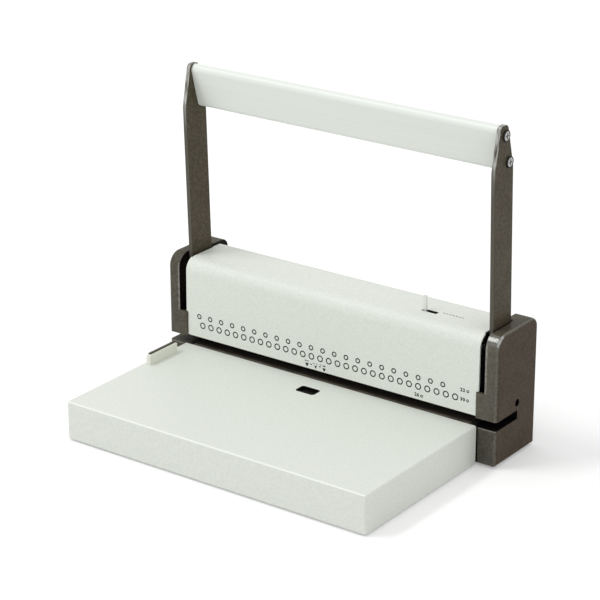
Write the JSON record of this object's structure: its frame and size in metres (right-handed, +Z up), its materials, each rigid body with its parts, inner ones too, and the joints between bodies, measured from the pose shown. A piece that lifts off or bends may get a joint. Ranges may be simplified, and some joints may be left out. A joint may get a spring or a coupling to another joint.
{
  "type": "lever paper punch for comb binding",
  "caption": "Desk paper punch for comb binding: pale paper table, long punch head between dark end covers, and a bow handle that drives a cam press.",
  "frame": {"origin": "on the floor under the middle of the footprint", "axes": "+X along the punch row to the operator's right, +Y from the table towards the punch head, +Z up"},
  "size_m": [0.356, 0.232, 0.2999],
  "materials": {
    "body_white": "matte fine-textured off-white paint",
    "guide_white": "satin off-white paint",
    "cover_dark": "brown-grey moulded plastic, semi-gloss",
    "arm_dark": "brown-grey semi-gloss paint",
    "grip_white": "satin white coating with faint lengthwise drawing lines",
    "zinc_steel": "zinc plated sheet",
    "dark_steel": "blackened tool steel",
    "bright_steel": "ground steel",
    "spring_steel": "drawn spring wire",
    "screw_steel": "bright nickel plate",
    "lever_steel": "pale painted steel",
    "bronze": "sintered bronze",
    "nylon": "natural nylon",
    "rubber": "black rubber",
    "smoked_pane": "near-black smoked acrylic"
  },
  "bodies": {
    "chassis": {"base_plate": "zinc_steel", "rubber_feet": "rubber", "base_screws": "screw_steel", "table_screws": "screw_steel", "paper_table": "body_white", "sight_pane": "smoked_pane", "paper_guide": "guide_white", "guide_screws": "screw_steel", "side_frame_left": "zinc_steel", "side_frame_right": "zinc_steel", "tie_rods": "bright_steel", "frame_screws": "screw_steel", "die_plate": "dark_steel", "stripper_plate": "dark_steel", "throat_spacers": "dark_steel", "stripper_screws": "screw_steel", "guide_posts": "bright_steel", "return_springs": "spring_steel", "shaft_bushes": "bronze", "end_cover_left": "cover_dark", "end_cover_right": "cover_dark", "end_cover_screws": "screw_steel", "head_cover": "body_white", "head_cover_screws": "screw_steel", "lever_bracket": "zinc_steel", "bracket_screws": "screw_steel", "drawer_rails": "zinc_steel"},
    "handle": {"pivot_shaft": "bright_steel", "arm_left": "arm_dark", "arm_right": "arm_dark", "arm_spacers": "nylon", "arm_screws": "screw_steel", "cam_left": "dark_steel", "cam_right": "dark_steel", "cam_pins": "bright_steel", "grip": "grip_white", "grip_screws": "screw_steel"},
    "press": {"press_beam": "dark_steel", "beam_bushes": "bronze", "punch_pins": "bright_steel", "punch_retainer": "zinc_steel", "retainer_screws": "screw_steel", "cam_pads": "bright_steel"},
    "lever": {"margin_lever": "lever_steel"},
    "stop": {"depth_stop": "zinc_steel"},
    "drawer": {"chip_drawer": "cover_dark"}
  },
  "joints": [
    {"name": "handle_hinge", "type": "hinge", "parent": "chassis", "child": "handle", "pos_m": [0, 0.08, 0.088], "axis": [1, 0, 0], "range_deg": [0, 85], "stiffness_Nm_per_rad": 0.8, "springref_deg": -80.21},
    {"name": "press_slide", "type": "slide", "parent": "chassis", "child": "press", "axis": [0, 0, -1], "range_m": [0, 0.009], "deforming": ["return_springs"]},
    {"name": "lever_slide", "type": "slide", "parent": "chassis", "child": "lever", "axis": [1, 0, 0], "range_m": [0, 0.01]},
    {"name": "stop_slide", "type": "slide", "parent": "chassis", "child": "stop", "axis": [0, 1, 0], "range_m": [0, 0.003]},
    {"name": "drawer_slide", "type": "slide", "parent": "chassis", "child": "drawer", "axis": [0, 1, 0], "range_m": [0, 0.095]}
  ],
  "couplings": [
    {"joint": "press_slide", "follows": "handle_hinge", "m_per_rad": 0.0060666},
    {"joint": "stop_slide", "follows": "lever_slide", "ratio": 0.3}
  ]
}
